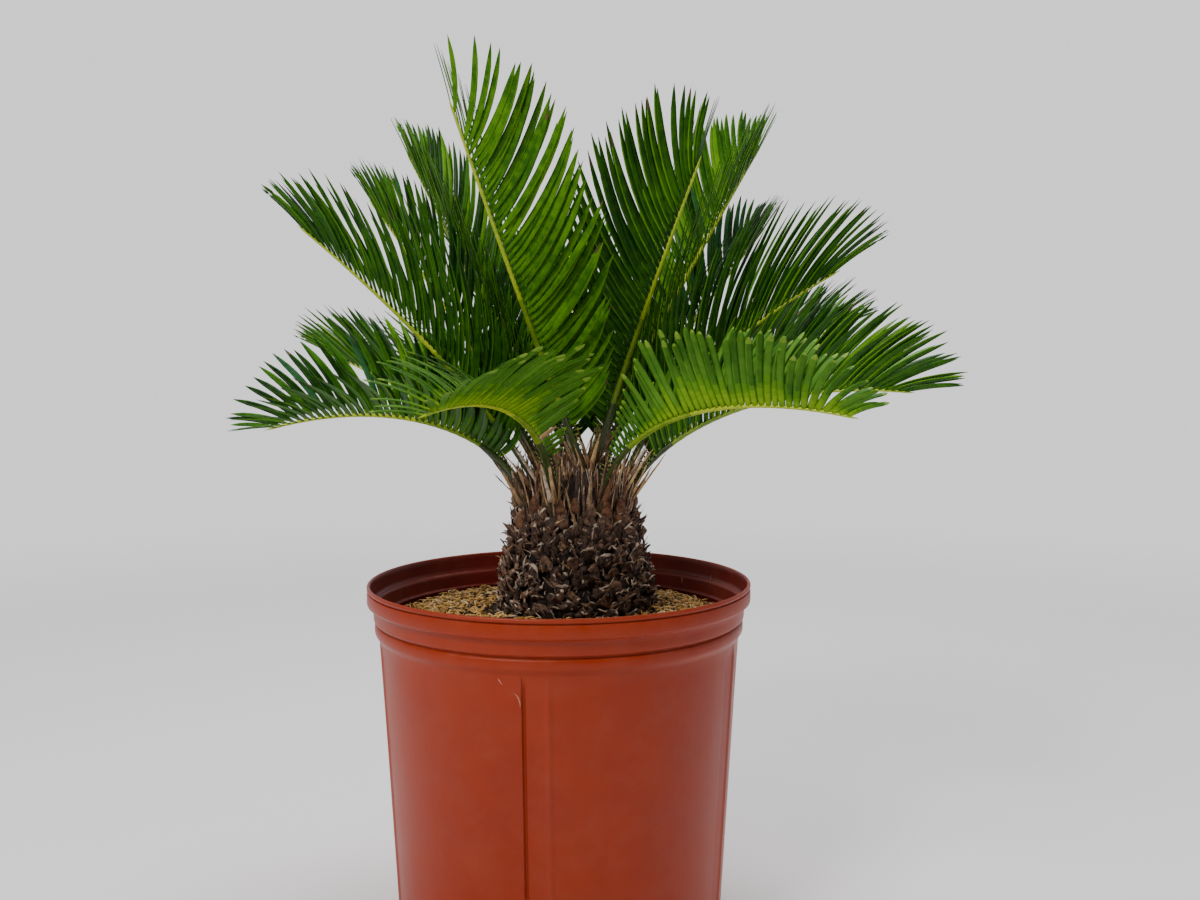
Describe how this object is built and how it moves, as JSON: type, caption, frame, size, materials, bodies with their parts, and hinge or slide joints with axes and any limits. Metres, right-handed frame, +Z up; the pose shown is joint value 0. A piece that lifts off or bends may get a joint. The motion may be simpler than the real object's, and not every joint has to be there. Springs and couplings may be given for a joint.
{
  "type": "potted sago palm",
  "caption": "Young sago palm with a shaggy round trunk and a crown of stiff feather fronds, growing in a round plastic nursery pot.",
  "frame": {"origin": "centre of the pot's flat underside", "axes": "+Z up along the pot's axis, +X to the right of the plant's front view, +Y away from the viewer"},
  "size_m": [0.4692, 0.4318, 0.5752],
  "materials": {
    "pot": "satin terracotta red plastic",
    "soil": "loose straw-coloured husk mulch over dark mix",
    "trunk": "rough, fibrous and scaly",
    "frond": "waxy leaf, semi-gloss"
  },
  "bodies": {
    "root": {"pot": "pot", "soil": "soil", "trunk": "trunk", "frond_tall_left": "frond", "frond_tall_right": "frond", "frond_tall_back_right": "frond", "frond_tall_back_left": "frond", "frond_upper_left_back": "frond", "frond_upper_left": "frond", "frond_upper_right": "frond", "frond_upper_right_back": "frond", "frond_upper_back": "frond", "frond_upper_back_left": "frond", "frond_mid_left": "frond", "frond_mid_right": "frond", "frond_low_left_foot": "frond", "frond_low_left_blade": "frond", "frond_low_front_left_foot": "frond", "frond_low_front_left_blade": "frond", "frond_low_front_right_foot": "frond", "frond_low_front_right_blade": "frond", "frond_low_right_foot": "frond", "frond_low_right_blade": "frond", "frond_low_back_right_foot": "frond", "frond_low_back_right_blade": "frond", "frond_low_back_foot": "frond", "frond_low_back_blade": "frond", "frond_low_back_left_foot": "frond", "frond_low_back_left_blade": "frond"}
  },
  "joints": []
}
